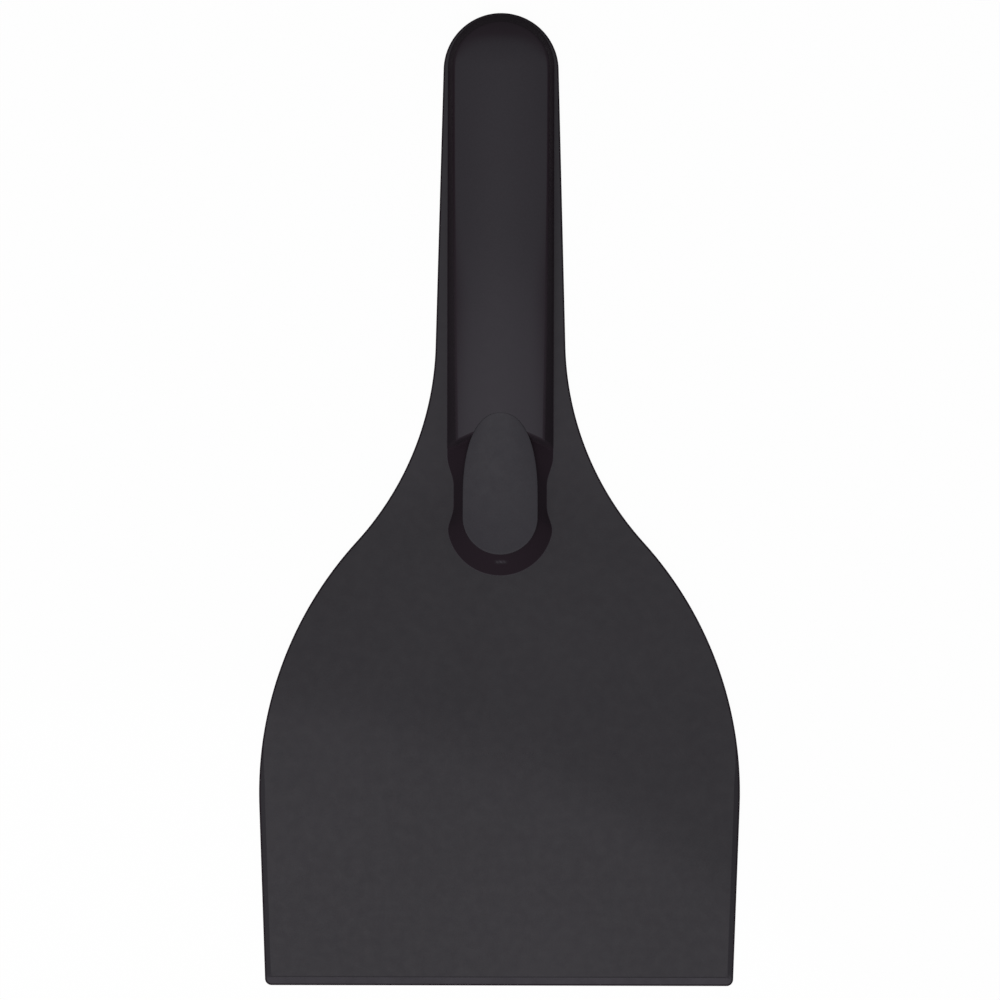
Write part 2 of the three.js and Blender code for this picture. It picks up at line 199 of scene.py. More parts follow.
# share of the painted shade that the gate's mark is spared
GATE_PALE = 0.95

# Painted shade on the sides of the grip above the cheeks: its strength, upward share where it starts, run
LOWER_SIDE_SHADE = np.array([0.73, 0.968, 0.105])
UPPER_SIDE_SHADE = np.array([1, 0.89, 0.16])
END_SIDE_SHADE = np.array([0.7, 0.945, 0.105])

# Plastics: tones are shares of a plastic's colour, scales are for noise in metres
NOISE_RANGE = (0.3, 0.7)  # where most values of a noise lie
CLOUD_SCALE = 18
CLOUD_TONES = (0.93, 1.07)
FLECK_SCALE = 0.7  # share of the grain's scale
FLECK_SHARE = 0.25
FLECK_TONE = 1.3
# paler edges: wear and a painted highlight
WEAR_AND_HIGHLIGHT_SCALE = 260
WEAR_AND_HIGHLIGHT_SHARES = (0.45, 0.75)
WEAR_AND_HIGHLIGHT_TONE = 1.95
# paler tone of the painted light
PAINTED_LIGHT_TONE = 1.6
SATIN_SCALE = 420
SATIN = (0.46, 0.54)  # roughness of the open faces
MATT = 0.95  # roughness of the steep sides
MATT_FROM = 0.7  # steepness that is fully matt
GRAIN_HEIGHT = 0.00005
# colours of the painted shade on steep sides
PAINTED_SHADE_COLOUR = (0.0218, 0.0148, 0.0203)
GRIP_PAINTED_SHADE_COLOUR = (0.0268, 0.0187, 0.0252)

# Studio, in metres
WHITE = (1, 1, 1, 1)
PAPER_GREY = (0.2, 0.2, 0.2, 1)  # what the floor throws back on the part
SHADOW_SHARE = 0.03
FLOOR_HALF = 4
FLOOR_HEIGHT = -1e-5
WORLD_LIGHT = 0.22
LENS = 250
SENSOR = 36
VIEW_WIDTH = 0.22876  # across the picture, on a plane at the view's height
VIEW_HEIGHT = 0.0015
VIEW_SHIFT = (-0.00004, -0.00011)
VIEW_ROLL = math.radians(0.13)


def lerp(a, b, t):
    return a + (b - a) * t


def smooth(t):
    t = np.clip(t, 0, 1)
    return t * t * (3 - 2 * t)


def ramp(value, start, run):
    """From 0 at the start smoothly to 1 at the end of the run, which goes downwards where it is negative"""
    return smooth((value - start) / run)


def direction(angle):
    return np.stack([np.cos(angle), np.sin(angle)], -1)


def arc(centre, radius, start, end, steps):
    angles = np.linspace(start, end, steps + 1)
    return np.asarray(centre) + direction(angles) * np.reshape(radius, (-1, 1))


def line(a, b, steps):
    return lerp(np.asarray(a), np.asarray(b), np.linspace(0, 1, steps + 1)[:, None])


def turns(*stretches):
    """Angles through stretches of start, end and steps, in degrees"""
    parts = [np.linspace(start, end, steps + 1)[1:] for start, end, steps in stretches]
    return np.radians(np.concatenate([[stretches[0][0]], *parts]))


def lift(outline, height):
    """Points of a plan at a height, a number or one for each point"""
    return np.column_stack([outline, np.broadcast_to(height, len(outline))])


def mirror(points):
    flipped = points.copy()
    flipped[:, 0] *= -1
    return flipped


def both_sides(right):
    """A closed ring from its right side, whose ends lie on the middle line"""
    return np.concatenate([right, mirror(right)[-2:0:-1]])


def rounded(before, corner, after, size):
    """Rows that round a corner between two neighbouring rows"""
    def part(towards):
        away = towards - corner
        length = np.linalg.norm(away, axis=1)[:, None]
        return corner + away * np.minimum(size / np.maximum(length, TINY), LONGEST_ROUND)

    first = part(before)
    last = part(after)
    for t in np.linspace(0, 1, TURN_STEPS + 1):
        yield lerp(lerp(first, corner, t), lerp(corner, last, t), t)


def sharpest_bend(point):
    """The largest outward bend of the edges at a point, in radians"""
    bends = [edge.calc_face_angle_signed(0) for edge in point.link_edges if len(edge.link_faces) == 2]
    return max(bends, default=0)


def upward(point, bend):
    """How far a point faces up or down; on a sharp edge its uppermost face says so"""
    top = max(face.normal.z for face in point.link_faces)
    return top if top > 0 and bend > SHARP_BEND else abs(point.normal.z)


def paint(mesh, name, values):
    """A number on each point, which the plastics read"""
    layer = mesh.attributes.new(name, "FLOAT", "POINT")
    layer.data.foreach_set("value", values.astype(np.float32))


class Skin:
    """Points and faces of one piece, gathered row by row"""

    def __init__(self):
        self.points = []
        self.faces = []

    def add(self, row):
        start = sum(len(earlier) for earlier in self.points)
        self.points.append(np.asarray(row, float))
        return np.arange(start, start + len(row))

    def strip(self, low, high, closed=True):
        n = len(low)
        for i in range(n if closed else n - 1):
            j = (i + 1) % n
            self.faces.append((low[i], low[j], high[j], high[i]))

    def strips(self, rings):
        for low, high in zip(rings, rings[1:]):
            self.strip(low, high)

    def fan(self, row, tip):
        for a, b in zip(row, row[1:]):
            self.faces.append((a, b, tip))

    def piece(self, name, painted_shade_at, origin=(0, 0, 0), wear_and_highlight=None):
        """The object, with the wear and painted highlight of its edges and the painted shade of its steep
        sides on its points
        """
        mesh = bpy.data.meshes.new(name)
        points = (np.concatenate(self.points) + np.asarray(origin)) * MM
        mesh.from_pydata(points.tolist(), [], [tuple(int(i) for i in face) for face in self.faces])
        bm = bmesh.new()
        bm.from_mesh(mesh)
        bmesh.ops.remove_doubles(bm, verts=bm.verts, dist=WELD)
        bmesh.ops.dissolve_degenerate(bm, edges=bm.edges, dist=WELD)
        loose = [v for v in bm.verts if not v.link_faces]
        bmesh.ops.delete(bm, geom=loose, context="VERTS")
        bmesh.ops.recalc_face_normals(bm, faces=bm.faces)
        bm.normal_update()
        places = np.array([v.co for v in bm.verts]) / MM - np.asarray(origin)
        bends = np.array([sharpest_bend(v) for v in bm.verts])
        up = np.array([upward(v, bend) for v, bend in zip(bm.verts, bends)])
        bm.to_mesh(mesh)
        bm.free()
        # edges paler where they bend: wear and a painted highlight
        worn_and_highlit = EDGE_WEAR_AND_HIGHLIGHT * ramp(bends, *WORN_AND_HIGHLIT_BENDS)
        if wear_and_highlight:
            worn_and_highlit = np.maximum(worn_and_highlit, wear_and_highlight(places, up))
        paint(mesh, "edge", worn_and_highlit)
        # painted shade on steep sides, as the 'side' layer
        paint(mesh, "side", painted_shade_at(places, up))
        mesh.polygons.foreach_set("use_smooth", [True] * len(mesh.polygons))
        mesh.set_sharp_from_angle(angle=SMOOTH_ANGLE)
        obj = bpy.data.objects.new(name, mesh)
        bpy.context.scene.collection.objects.link(obj)
        return obj


# Plate: the arcs of its outline, as in the solid
edge_y = -OVERALL_LENGTH / 2
end_radius = GRIP_WIDTH / 2 + RIM_WIDTH
end_centre = np.array([0, OVERALL_LENGTH / 2 - end_radius])
shoulder = np.array([BLADE_WIDTH / 2 - SHOULDER_RADIUS, edge_y + WIDEST_HEIGHT])
handle_out = direction(HANDLE_TAPER)
handle_down = np.array([handle_out[1], -handle_out[0]])
reach = end_centre + handle_out * (end_radius + NECK_RADIUS) - shoulder
along = reach @ handle_down
handle_run = -along - math.sqrt(along**2 - reach @ reach + (NECK_RADIUS + SHOULDER_RADIUS) ** 2)
neck = reach + handle_down * handle_run + shoulder
join_angle = math.atan2(*(neck - shoulder)[::-1])

# Grip and pad: in a frame whose origin is the centre of the handle's round end, on the plate's front
grip_half = GRIP_WIDTH / 2
grip_origin = (0, OVERALL_LENGTH / 2 - END_RIM - grip_half, PLATE_THICKNESS)
grip_foot = grip_half - GRIP_LENGTH
foot_centre = grip_foot + grip_half
peak_y = grip_half - ARCH_PEAK
waist_y = grip_foot + WAIST_SETBACK
pad_half = PAD_WIDTH / 2
pad_foot = grip_foot + PAD_SETBACK
pad_low = pad_foot + pad_half
pad_high = pad_low + PAD_STRAIGHT
pad_tip = pad_high + PAD_RISE
cheek_y = pad_tip - CHEEK_SETBACK


def plate_half(edge, blade, handle):
    """Right half of the outline, from the scraping edge to the handle's end, with an inset for each part"""
    out = direction(-BLADE_TAPER)
    corner = max(CORNER_RADIUS - max(edge, blade), LEAST_CORNER)
    corner_y = edge_y + edge + corner
    side = SHOULDER_RADIUS - blade - corner - out[1] * (corner_y - shoulder[1])
    corner_x = shoulder[0] + side / out[0]
    bottom = arc((corner_x, corner_y), corner, -math.pi / 2, -BLADE_TAPER, CORNER_STEPS)
    fade = smooth(np.linspace(-BLADE_TAPER, join_angle, SHOULDER_STEPS + 1) / BEVEL_FADE)
    blade_radius = SHOULDER_RADIUS - lerp(blade, handle, fade)
    blade_arc = arc(shoulder, blade_radius, -BLADE_TAPER, join_angle, SHOULDER_STEPS)
    neck_arc = arc(neck, -NECK_RADIUS - handle, join_angle, HANDLE_TAPER, NECK_STEPS)
    end = arc(end_centre, end_radius - handle, HANDLE_TAPER, math.pi / 2, END_STEPS)
    end[-1, 0] = 0
    sides = line(bottom[-1], blade_arc[0], SIDE_STEPS)
    handle_side = line(neck_arc[-1], end[0], HANDLE_STEPS)
    return np.concatenate([bottom, sides[1:], blade_arc[1:], neck_arc[1:], handle_side[1:], end[1:]])


def plate_ring(half):
    """The closed outline: along the scraping edge to the right, up the right side and down the left side"""
    bottom = line(mirror(half)[0], half[0], BOTTOM_STEPS)[1:-1]
    return np.concatenate([bottom, half, mirror(half)[-2::-1]])


def front(y):
    """Height of the plate's front, which falls towards the scraping edge below the widest point"""
    u = y - shoulder[1]
    return PLATE_THICKNESS + THINNING * (u - np.sqrt(u * u + THINNING_SOFT**2)) / 2


def plate_painted_shade(places, up):
    """How much painted shade a place gets, as a steep side"""
    return ramp(up, *PLATE_SHADE_RAMP)


def scuffs_and_highlight(places, up):
    """Wear and a painted highlight along the bevel of the scraping edge"""
    low = places[:, 1] < edge_y + EDGE_BEVEL + SCUFF_AND_HIGHLIGHT_OVER
    on_bevel = low & (places[:, 2] > EDGE_LAND - SCUFF_AND_HIGHLIGHT_UNDER)
    return on_bevel * ramp(up, *SCUFF_AND_HIGHLIGHT_RAMP)


def plate_rows(inner_half):
    """Rows round the plate's rim, from the flat of its back over its edges to the flat of its front"""
    ring = plate_ring(plate_half(0, 0, 0))
    starts = (EDGE_BEVEL, SIDE_BEVEL, HANDLE_CHAMFER)
    face = plate_ring(plate_half(*starts))
    width = np.linalg.norm(ring - face, axis=1)
    drop = lerp(HANDLE_CHAMFER, SIDE_BEVEL_DROP, (width - HANDLE_CHAMFER) / (SIDE_BEVEL - HANDLE_CHAMFER))
    aside = ramp(ring[:, 1], edge_y, CORNER_RADIUS)
    back = BACK_CHAMFER + BACK_MARGIN
    corners = [
        lift(plate_ring(plate_half(BACK_MARGIN, back, back)), 0),
        lift(plate_ring(plate_half(0, BACK_CHAMFER, BACK_CHAMFER)), 0),
        lift(ring, BACK_CHAMFER),
        lift(ring, lerp(EDGE_LAND, front(ring[:, 1]) - drop, aside)),
        lift(face, front(face[:, 1])),
    ]
    along_edge = 1 - smooth((face[:, 1] - edge_y - EDGE_BEVEL) / GROOVE_END)
    for share, depth in ((0.5, GROOVE_DEPTH), (1, 0)):
        step = plate_ring(plate_half(*(start + GROOVE_WIDTH * share for start in starts)))
        corners.append(lift(step, front(step[:, 1]) - depth * along_edge))
    inner = plate_ring(inner_half)
    corners.append(lift(inner, front(inner[:, 1])))
    rows = [corners[0]]
    for k, size in enumerate(EDGE_ROUNDS):
        turn = list(rounded(corners[k], corners[k + 1], corners[k + 2], size))
        rows += [lerp(rows[-1], turn[0], share) for share in (HOLD, 1 - HOLD)] + turn
    return rows + [lerp(rows[-1], corners[-1], HOLD), corners[-1]]


def lay_front(skin, ring, inner_half):
    """The flat of the plate's front, in rows from side to side"""
    previous = np.concatenate([ring[-1:], ring[:BOTTOM_STEPS]])
    for i in range(1, len(inner_half) - 1):
        x, y = inner_half[i]
        across = line((-x, y), (x, y), BOTTOM_STEPS)[1:-1]
        inside = skin.add(lift(across, front(y)))
        row = np.concatenate([[ring[-1 - i]], inside, [ring[BOTTOM_STEPS - 1 + i]]])
        skin.strip(previous, row, closed=False)
        previous = row
    skin.fan(previous, ring[BOTTOM_STEPS - 2 + len(inner_half)])


def pin_mark(skin, at):
    """A round mark of a mould's pin; gives back the loop round it"""
    def loop(radius, height):
        return skin.add(lift(arc(at, radius, 0, 2 * math.pi, MARK_STEPS)[:-1], height))

    inside = EJECTOR_RADIUS - MARK_CHAMFER
    loops = [
        loop(EJECTOR_RADIUS + MARK_MARGIN, 0),
        loop(EJECTOR_RADIUS, 0),
        loop(inside, MARK_CHAMFER),
        loop(inside, EJECTOR_DEPTH - MARK_FILLET),
        loop(EJECTOR_RADIUS - MARK_FLOOR, EJECTOR_DEPTH),
    ]
    skin.strips(loops)
    middle = skin.add([(*at, EJECTOR_DEPTH)])[0]
    skin.fan(np.append(loops[-1], loops[-1][0]), middle)
    return loops[0]


def lay_back(skin, ring):
    """The flat of the plate's back, in triangles round the marks of the mould's pins"""
    marks = [(0, grip_origin[1]), (0, grip_origin[1] + cheek_y), (0, shoulder[1])]
    for side in (-1, 1):
        marks += [(side * EJECTOR_OUT, shoulder[1]), (side * EJECTOR_OUT, edge_y + EJECTOR_UP)]
    loops = [ring] + [pin_mark(skin, at) for at in marks]
    edges = []
    start = 0
    for loop in loops:
        edges += [(start + i, start + (i + 1) % len(loop)) for i in range(len(loop))]
        start += len(loop)
    every = np.concatenate(skin.points)
    ids = np.concatenate(loops)
    plan = [Vector(every[i, :2]) for i in ids]
    _, _, triangles, sources, _, _ = delaunay_2d_cdt(plan, edges, [], INSIDE_LOOPS, PLAN_CLOSE)
    owner = np.repeat(np.arange(len(loops)), [len(loop) for loop in loops])
    for triangle in triangles:
        corner_ids = [sources[i][0] for i in triangle]
        homes = {int(owner[i]) for i in corner_ids}
        if len(homes) > 1 or homes == {0}:
            skin.faces.append(tuple(ids[i] for i in corner_ids))


def blade_plate():
    inner_half = plate_half(EDGE_BEVEL + FACE_MARGIN, SIDE_BEVEL + FACE_MARGIN, HANDLE_CHAMFER + RIM_MARGIN)
    skin = Skin()
    rings = [skin.add(row) for row in plate_rows(inner_half)]
    skin.strips(rings)
    lay_front(skin, rings[-1], inner_half)
    lay_back(skin, rings[0])
    return skin.piece("scraper_blade", plate_painted_shade, wear_and_highlight=scuffs_and_highlight)


def crest(y):
    return GRIP_HEIGHT - (y - peak_y) ** 2 / (2 * ARCH_RADIUS)


def pad_face(x, y):
    share = (y - pad_foot) / (pad_tip - pad_foot)
    bend = lerp(PAD_HOLLOW / pad_half**2, -0.5 / CROWN_RADIUS, share)
    return lerp(PAD_LOW, crest(pad_tip), share) - 4 * PAD_SAG * share * (1 - share) + bend * x**2


def pad_bottom(x, y):
    return pad_face(x, y) - PAD_THICKNESS


def seat(x, y):
    return pad_bottom(x, y) - PAD_BED


def waist(y):
    return WAIST_DEPTH * ramp(np.abs(y - waist_y), WAIST_SPAN / 2, -WAIST_EASE)


# Places along the right side of the thumb pad's outline, from its upper tip to its lower tip, closer together
# where the cheeks meet it and at the lower tip
upper_turns = turns((90, 54, 25), (54, 34, 60), (34, 0, 19))
straight_shares = np.linspace(0, 1, PAD_STRAIGHT_STEPS + 1)[1:]
lower_turns = turns((0, -80, 27), (-80, -90, 14))[1:]


def pad_side(inset):
    def full(v):
        return np.abs(v) ** (2 / PAD_FULLNESS)

    half = pad_half - inset
    rise = PAD_RISE - inset
    upper = np.column_stack([half * full(np.cos(upper_turns)), pad_high + rise * full(np.sin(upper_turns))])
    straight_y = lerp(pad_high, pad_low, straight_shares)
    straight = np.column_stack([np.full(PAD_STRAIGHT_STEPS, half), straight_y])
    lower = np.array([0, pad_low]) + half * direction(lower_turns)
    side = np.concatenate([upper, straight, lower])
    side[[0, -1], 0] = 0
    return side


def section(inset, draft, crown):
    """Inset and height of points up a wall of the grip and round the edge between it and the crown"""
    radius = max(SIDE_ROUND - inset, LEAST_ROUND * SIDE_ROUND)
    up = direction(math.pi / 2 - draft)
    inward = np.array([up[1], -up[0]])
    crown_centre = np.array([grip_half - inset, GRIP_HEIGHT - inset - crown])
    offset = inward * radius - crown_centre
    lean = up @ offset
    run = -lean + math.sqrt(lean**2 - offset @ offset + (crown - radius) ** 2)
    centre = up * run + inward * radius
    touch = math.atan2(*(centre - crown_centre)[::-1])
    bend = np.linspace(math.pi - draft, touch, ROUND_STEPS + 1)
    return np.concatenate([up * run * WALL_ROWS[:, None], centre + radius * direction(bend)])


def side_draft(y):
    return lerp(SIDE_DRAFT, CHEEK_DRAFT, np.clip(y / cheek_y, 0, 1) ** 2)


def handle_column(foot, out, inset, draft, crown):
    """Points up a wall of the handle, round its edge and over the crown to the middle line"""
    half = grip_half - inset
    tall = GRIP_HEIGHT - inset
    rows = section(inset, draft, crown)
    wall = foot - rows[:, :1] * out
    middle = foot - half * out
    over = line(wall[-1], middle, CROWN_ROWS)[1:]
    top = tall - crown + np.sqrt(crown**2 - ((over - middle) ** 2).sum(1))
    plan = np.concatenate([wall, over])
    z = np.concatenate([rows[:, 1], top])
    return np.column_stack([plan, z * (crest(plan[:, 1]) - inset) / tall])


def thumb_column(big, small, tip_y, inset):
    """Points up to the thumb pad's seat: over a dome above the cheeks, and up leaning walls below them"""
    half = grip_half - inset
    tall = GRIP_HEIGHT - inset
    crown = CROWN_RADIUS - inset
    mid_y = (big[1] + small[1]) / 2
    cheek_line = cheek_y + inset
    rows = section(inset, side_draft(mid_y), crown)
    if mid_y < pad_low:
        out = np.array([small[0], small[1] - pad_low])
        foot = np.array([0, foot_centre]) + half * out / np.linalg.norm(out)
    else:
        share = (mid_y - pad_low) / (tip_y - pad_low)
        foot = np.array([half, lerp(foot_centre, tip_y, share)])
    if foot[0] > TINY:
        foot[0] -= waist(foot[1])
    away = smooth((cheek_line + CHEEK_SLANT * (half - big[0]) - mid_y) / (2 * CHEEK_SOFT) + 0.5)
    top = lerp(big, small, away)
    depth = foot[0] - top[0] if mid_y > pad_low else np.linalg.norm(foot - top)
    fit = min(1, WALL_SHARE * max(depth, LEAST_DEPTH) / rows[-1, 0])
    over = np.linspace(rows[-1, 0] * fit, depth, CROWN_ROWS + 1)[1:]
    insets = np.concatenate([rows[:, 0] * fit, over])
    even = np.linspace(0, 1, len(insets)) ** WALL_SPACING
    share = lerp(insets / depth, even, ramp(mid_y, cheek_line, -CHEEK_REACH))
    plan = lerp(foot, top, share[:, None])
    flat = tall - crown + np.sqrt(crown**2 - plan[:, 0] ** 2)
    dome = np.concatenate([rows[:, 1], flat[len(rows):]]) * (crest(plan[:, 1]) - inset) / tall
    rim = seat(*small) - inset - SEAT_LIP
    slant = cheek_line + CHEEK_SLANT * insets - plan[:, 1]
    weight = smooth(np.clip(slant / (2 * CHEEK_SOFT) + CHEEK_LEAD, 0, 1) ** CHEEK_EASE)
    return np.column_stack([plan, lerp(dome, rim * share, weight)])


def grip_columns(inset):
    """Columns of points up the grip's right side, from the handle's end on, and how many the handle has"""
    half = grip_half - inset
    grown = pad_side(-SEAM - inset)
    shrunk = pad_side(inset)
    tip_y = grown[0, 1]
    handle = []
    for angle in np.radians(np.linspace(90, 0, GRIP_END_STEPS + 1))[:-1]:
        out = direction(angle)
        endward = out[1] ** 2
        draft = lerp(SIDE_DRAFT, END_DRAFT, endward)
        crown = lerp(CROWN_RADIUS, END_CROWN, endward) - inset
        handle.append(handle_column(half * out, out, inset, draft, crown))
    for y in np.linspace(0, tip_y, GRIP_SIDE_STEPS + 1)[:-1]:
        foot = np.array([half, y])
        handle.append(handle_column(foot, direction(0), inset, side_draft(y), CROWN_RADIUS - inset))
    thumb = [thumb_column(big, small, tip_y, inset) for big, small in zip(grown, shrunk)]
    return np.array(handle + thumb), len(handle)


def gate(x, y):
    """The rough little mark of the mould's gate on the wall below the thumb pad"""
    x = (x - GATE_OUT) / GATE_WIDTH
    y = (y - grip_foot - GATE_UP) / GATE_HEIGHT
    ripple = np.cos(GATE_WAVES[0] * x + GATE_WAVES[1] * y)
    return np.exp(-(x**4) - y**2) * (1 - GATE_RIPPLE + GATE_RIPPLE * ripple)


def gate_wear(places, up):
    return gate(places[:, 0], places[:, 1])


def grip_painted_shade(places, up):
    """How much painted shade a place gets as a steep side, with a rule of its own for the walls round the
    thumb pad, and less on the gate's mark
    """
    x = places[:, 0]
    y = places[:, 1]
    far = ramp(y, *UPPER_HANDLE) * ramp(np.abs(x), *CROWN_SIDES)
    end = ramp(y, *ROUND_END)
    sides = lerp(lerp(LOWER_SIDE_SHADE, UPPER_SIDE_SHADE, far[:, None]), END_SIDE_SHADE, end[:, None])
    strength, start, run = sides.T
    painted_shade = strength * ramp(up, start, -run)
    # painted shade on the walls round the thumb pad
    walls = ramp(up, *PAD_WALL_SHADE) * lerp(STEEPEST_SHADE_SHARE, 1, ramp(up, *STEEPEST_WALL_SHADE))
    cheek_line = cheek_y + CHEEK_SLANT * (grip_half - np.abs(x)) + CHEEK_SOFT
    below = ramp(y, cheek_line, -CHEEK_SHADE_RUN)
    return lerp(painted_shade, walls, below) * (1 - GATE_PALE * gate(x, y))


def spread_foot(columns):
    """Lets the outer walls end in a small fillet on the plate"""
    tangent = np.gradient(columns[:, 0, :2], axis=0)
    out = np.column_stack([-tangent[:, 1], tangent[:, 0]])
    out /= np.linalg.norm(out, axis=1)[:, None]
    out[0] = (0, 1)
    out[-1] = (0, -1)
    low = np.clip(1 - columns[:, :, 2] / FOOT_FILLET, 0, 1)
    spread = FOOT_FILLET * (1 - np.sqrt(1 - low**2))
    columns[:, :, :2] += out[:, None, :] * spread[:, :, None]


def lay_seat(skin, rim, inset):
    """The seat of the thumb pad, inside its rim"""
    here = np.concatenate(skin.points)[rim]
    bed = skin.add(np.column_stack([here[:, :2], seat(here[:, 0], here[:, 1]) - inset]))
    skin.strip(rim, bed)
    half = len(bed) // 2
    left = np.concatenate([bed[:1], bed[: half - 1 : -1]])
    skin.strip(bed[: half + 1], left, closed=False)


def grip_shell():
    skin = Skin()
    feet = []
    for inset in (0, GRIP_WALL):
        outside = inset == 0
        columns, first = grip_columns(inset)
        if outside:
            spread_foot(columns)
        rings = []
        for k in range(columns.shape[1]):
            ring = both_sides(columns[:, k])
            if outside:
                ring += gate(ring[:, 0], ring[:, 1])[:, None] * GATE_RISE * np.array(GATE_LEAN)
            rings.append(skin.add(ring))
        skin.strips(rings)
        feet.append(rings[0])
        around_pad = np.arange(first, 2 * len(columns) - 1 - first)
        lay_seat(skin, rings[-1][around_pad], inset)
    skin.strip(*feet)
    return skin.piece("scraper_grip", grip_painted_shade, grip_origin, gate_wear)


def pad_painted_shade(places, up):
    """How much painted shade a place gets, as a steep side"""
    return ramp(up, *PAD_SHADE_RAMP)


def pad_ring(inset, height):
    side = pad_side(inset)
    return both_sides(lift(side, height(side[:, 0], side[:, 1])))


def lay_pad(skin, loop, height):
    """One face of the thumb pad, in rows from side to side"""
    side = pad_side(PAD_MARGIN)
    half = len(loop) // 2
    previous = None
    for i in range(1, half):
        x, y = side[i]
        across = line((-x, y), (x, y), PAD_STEPS)[1:-1]
        inside = skin.add(lift(across, height(across[:, 0], across[:, 1])))
        row = np.concatenate([[loop[-i]], inside, [loop[i]]])
        if previous is None:
            skin.fan(row, loop[0])
        else:
            skin.strip(previous, row, closed=False)
        previous = row
    skin.fan(previous, loop[half])


def thumb_pad():
    corners = [
        pad_ring(PAD_MARGIN, pad_bottom),
        pad_ring(PAD_GAP, pad_bottom),
        pad_ring(PAD_GAP, pad_face),
        pad_ring(PAD_MARGIN, pad_face),
    ]
    near_tip = smooth((corners[2][:, 1:2] - cheek_y) / CHEEK_SETBACK + 0.5)
    rows = [corners[0]]
    rows += rounded(*corners[:3], PAD_UNDER_ROUND)
    rows += rounded(*corners[1:], lerp(PAD_ROUND, TIP_ROUND, near_tip))
    rows.append(corners[3])
    skin = Skin()
    rings = [skin.add(row) for row in rows]
    skin.strips(rings)
    lay_pad(skin, rings[0], pad_bottom)
    lay_pad(skin, rings[-1], pad_face)
    return skin.piece("scraper_thumb_pad", pad_painted_shade, grip_origin)


def shader_node(tree, kind, inputs, **settings):
    """A new node, with sockets linked and values set on its inputs"""
    new = tree.nodes.new("ShaderNode" + kind)
    for key, value in settings.items():
        setattr(new, key, value)
    for key, value in inputs.items():
        if isinstance(value, bpy.types.NodeSocket):
            tree.links.new(value, new.inputs[key])
        else:
            new.inputs[key].default_value = value
    return new


def plastic(name, colour, grain, depth, specular, painted_shade, painted_light=None):
    """Plastic with faint clouds, flecks and grain, worn edges with a painted highlight, dull sides in painted
    shade and a stretch of painted light

    The argument for the painted light says where along Y that stretch starts and where it is full, in metres,
    and its share.
    """
    material = bpy.data.materials.new(name)
    material.use_nodes = True
    tree = material.node_tree
    shader = tree.nodes["Principled BSDF"]
    shader.inputs["Specular IOR Level"].default_value = specular
    where = shader_node(tree, "TexCoord", {}).outputs["Object"]

    def tone(share):
        return (*(c * share for c in colour), 1)

    def painted(layer):
        return shader_node(tree, "Attribute", {}, attribute_name=layer).outputs["Fac"]

    def noise(scale, detail):
        inputs = {"Vector": where, "Scale": scale, "Detail": detail}
        return shader_node(tree, "TexNoise", inputs).outputs["Fac"]

    def spread(value, low, high):
        start, end = NOISE_RANGE
        inputs = {"Value": value, "From Min": start, "From Max": end, "To Min": low, "To Max": high}
        return shader_node(tree, "MapRange", inputs).outputs["Result"]

    def mix(factor, a, b):
        """Mixes two colours, whose sockets share their names with those of numbers and so go by place"""
        return shader_node(tree, "Mix", {"Factor": factor, 6: a, 7: b}, data_type="RGBA").outputs[2]

    # the 'side' layer: how much painted shade a point gets
    side = painted("side")
    wear_and_highlight_inputs = {0: painted("edge"), 1: spread(noise(WEAR_AND_HIGHLIGHT_SCALE, 3), *WEAR_AND_HIGHLIGHT_SHARES)}
    wear_and_highlight = shader_node(tree, "Math", wear_and_highlight_inputs, operation="MULTIPLY").outputs[0]
    shade = mix(spread(noise(CLOUD_SCALE, 2), 0, 1), tone(CLOUD_TONES[0]), tone(CLOUD_TONES[1]))
    shade = mix(spread(noise(grain * FLECK_SCALE, 2), 0, FLECK_SHARE), shade, tone(FLECK_TONE))
    # paler edges: wear and a painted highlight
    shade = mix(wear_and_highlight, shade, tone(WEAR_AND_HIGHLIGHT_TONE))
    # a paler stretch along Y: painted light
    if painted_light:
        start, end, most = painted_light
        along_y = shader_node(tree, "SeparateXYZ", {0: where}).outputs["Y"]
        inputs = {"Value": along_y, "From Min": start, "From Max": end, "To Max": most}
        lit_stretch = shader_node(tree, "MapRange", inputs, interpolation_type="SMOOTHSTEP").outputs["Result"]
        shade = mix(lit_stretch, shade, tone(PAINTED_LIGHT_TONE))
    # steep sides mixed towards the colour of painted shade
    tree.links.new(mix(side, shade, (*painted_shade, 1)), shader.inputs["Base Color"])

    dull = shader_node(tree, "MapRange", {"Value": side, "From Max": MATT_FROM}).outputs["Result"]
    rough_inputs = {"Factor": dull, "A": spread(noise(SATIN_SCALE, 4), *SATIN), "B": MATT}
    tree.links.new(shader_node(tree, "Mix", rough_inputs).outputs["Result"], shader.inputs["Roughness"])
    bump_inputs = {"Strength": depth, "Distance": GRAIN_HEIGHT, "Height": noise(grain, 3)}
    tree.links.new(shader_node(tree, "Bump", bump_inputs).outputs["Normal"], shader.inputs["Normal"])
    return material


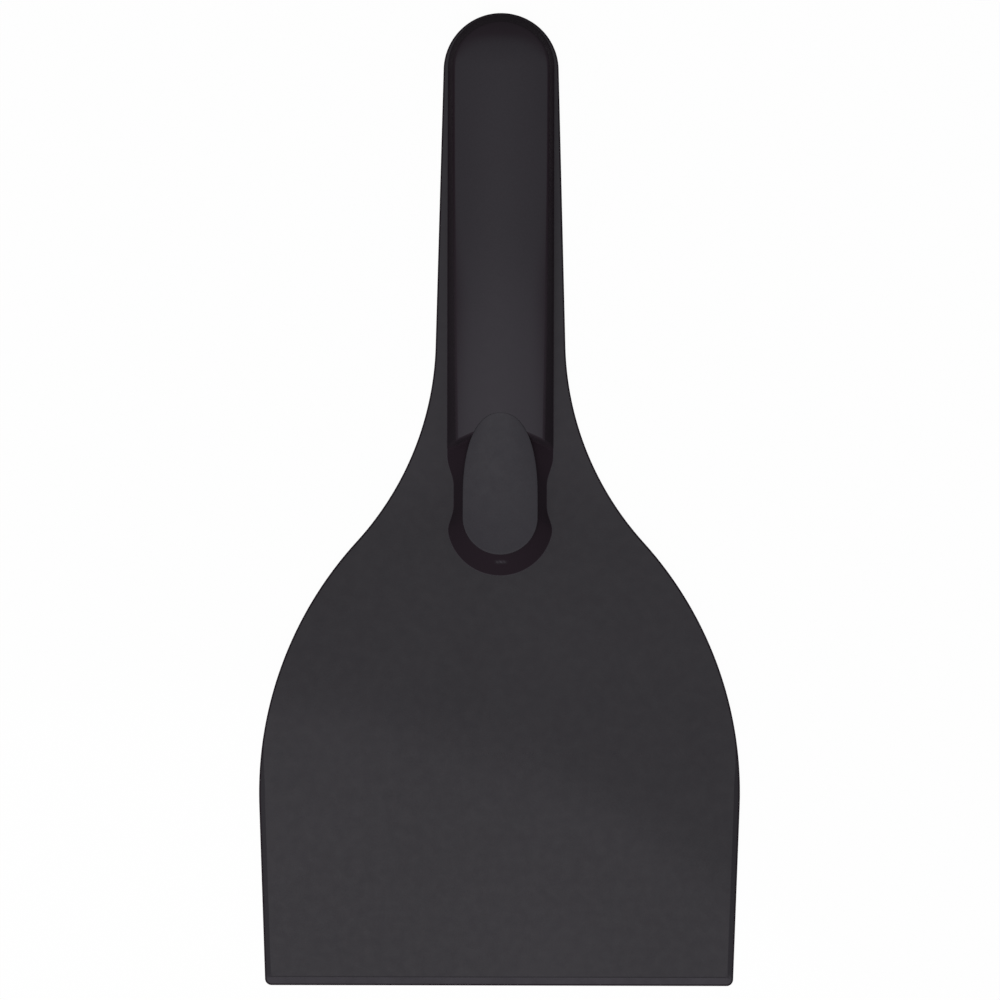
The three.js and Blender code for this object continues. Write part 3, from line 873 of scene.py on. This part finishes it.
PLASTICS = {
    "blade_plastic": plastic(
        "blade_plastic",
        colour=(0.0342, 0.0315, 0.0369),
        grain=3600,
        depth=0.3,
        specular=0.1,
        painted_shade=PAINTED_SHADE_COLOUR,
        # painted light, paler from the neck up
        painted_light=(-0.012, 0.015, 0.4),
    ),
    "grip_plastic": plastic(
        "grip_plastic",
        colour=(0.0425, 0.0387, 0.0457),
        grain=3600,
        depth=0.3,
        specular=0.04,
        painted_shade=GRIP_PAINTED_SHADE_COLOUR,
        # painted light, paler towards the thumb pad
        painted_light=(0.066, 0.02, 0.48),
    ),
    "pad_plastic": plastic(
        "pad_plastic",
        colour=(0.0412, 0.0383, 0.0463),
        grain=3000,
        depth=0.25,
        specular=0.12,
        painted_shade=PAINTED_SHADE_COLOUR,
    ),
}
for make, node, slot in (
    (blade_plate, "blade_plate", "blade_plastic"),
    (grip_shell, "grip_shell", "grip_plastic"),
    (thumb_pad, "thumb_pad", "pad_plastic"),
):
    piece = make()
    piece.data.materials.append(PLASTICS[slot])
    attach(piece, "root")
    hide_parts(node)


def white_paper():
    """Paper that is seen as white with a faint shadow, and that throws little light back on the part"""
    material = bpy.data.materials.new("white_paper")
    material.use_nodes = True
    tree = material.node_tree
    tree.nodes.clear()
    plain = shader_node(tree, "BsdfDiffuse", {"Color": PAPER_GREY})
    lit = shader_node(tree, "BsdfDiffuse", {"Color": WHITE})
    white = shader_node(tree, "Emission", {"Color": WHITE, "Strength": 1})
    shaded = shader_node(tree, "MixShader", {0: SHADOW_SHARE, 1: white.outputs[0], 2: lit.outputs[0]})
    path = shader_node(tree, "LightPath", {})
    seen = path.outputs["Is Camera Ray"]
    for other in ("Is Glossy Ray", "Is Transmission Ray"):
        seen = shader_node(tree, "Math", {0: seen, 1: path.outputs[other]}, operation="MAXIMUM").outputs[0]
    choice = shader_node(tree, "MixShader", {0: seen, 1: plain.outputs[0], 2: shaded.outputs[0]})
    shader_node(tree, "OutputMaterial", {"Surface": choice.outputs[0]})
    return material


# Floor, a hair below the part
floor_plan = ((-1, -1), (1, -1), (1, 1), (-1, 1))
floor_corners = [(x * FLOOR_HALF, y * FLOOR_HALF, FLOOR_HEIGHT) for x, y in floor_plan]
floor_mesh = bpy.data.meshes.new("floor")
floor_mesh.from_pydata(floor_corners, [], [(0, 1, 2, 3)])
floor_mesh.materials.append(white_paper())
floor = bpy.data.objects.new("floor", floor_mesh)
bpy.context.scene.collection.objects.link(floor)

# Light
scene = bpy.context.scene
world = bpy.data.worlds.new("studio")
world.use_nodes = True
background = world.node_tree.nodes["Background"]
background.inputs["Color"].default_value = WHITE
background.inputs["Strength"].default_value = WORLD_LIGHT
scene.world = world


def lamp(name, kind, place, aim, **settings):
    light = bpy.data.lights.new(name, kind)
    for key, value in settings.items():
        setattr(light, key, value)
    obj = bpy.data.objects.new(name, light)
    obj.location = place
    obj.rotation_euler = (Vector(aim) - Vector(place)).to_track_quat("-Z", "Y").to_euler()
    scene.collection.objects.link(obj)


lamp("overhead", "AREA", place=(-0.14, -0.55, 1.9), aim=(0, 0, 0), shape="SQUARE", size=1.2, energy=21)
lamp(
    "lower_blade",
    "SPOT",
    place=(-0.15, -0.45, 1.0),
    aim=(-0.08, -0.267, 0),
    energy=7,
    spot_size=math.radians(24),
    spot_blend=0.1,
    shadow_soft_size=0.006,
)

# Camera, straight above the front
camera = bpy.data.cameras.new("camera")
camera.lens = LENS
camera.sensor_width = SENSOR
eye = bpy.data.objects.new("camera", camera)
eye.location = (*VIEW_SHIFT, VIEW_WIDTH * LENS / SENSOR + VIEW_HEIGHT)
eye.rotation_euler = (0, 0, VIEW_ROLL)
scene.collection.objects.link(eye)
scene.camera = eye
scene.view_settings.view_transform = "Standard"
